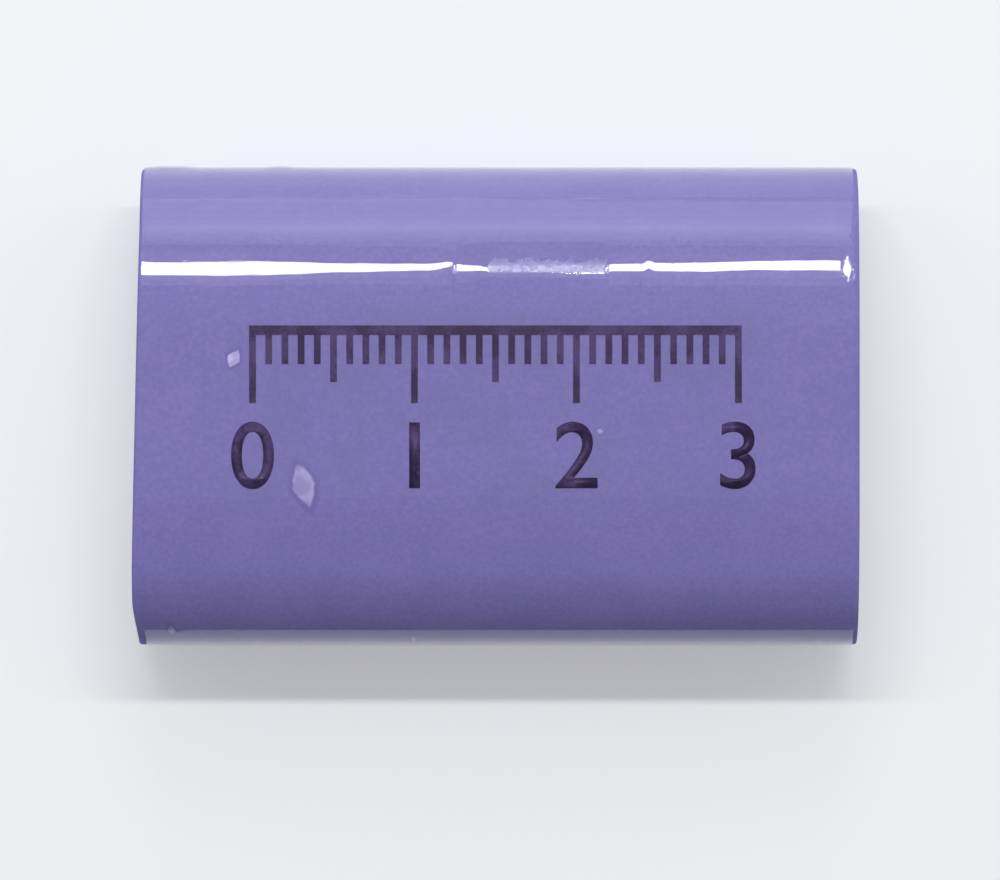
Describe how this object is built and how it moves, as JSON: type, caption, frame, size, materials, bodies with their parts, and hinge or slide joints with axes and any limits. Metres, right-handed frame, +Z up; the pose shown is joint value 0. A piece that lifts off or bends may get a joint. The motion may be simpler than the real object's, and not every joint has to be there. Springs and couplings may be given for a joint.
{
  "type": "block eraser",
  "caption": "Vinyl block eraser of crowned oval section, in a clear film sleeve that is open at the ends and slides off lengthwise.",
  "frame": {"origin": "middle of the underside, where the sleeve meets the table", "axes": "+X along the block, +Y across its broad face towards the sleeve's lap, +Z up through its thickness"},
  "size_m": [0.045, 0.03, 0.014],
  "materials": {
    "lilac_vinyl": "satin",
    "clear_film": "gloss"
  },
  "bodies": {
    "block": {"eraser_block": "lilac_vinyl"},
    "sleeve": {"film_sleeve": "clear_film"}
  },
  "joints": [
    {"name": "sleeve_slide", "type": "slide", "parent": "block", "child": "sleeve", "axis": [1, 0, 0], "range_m": [0, 0.0455]}
  ]
}
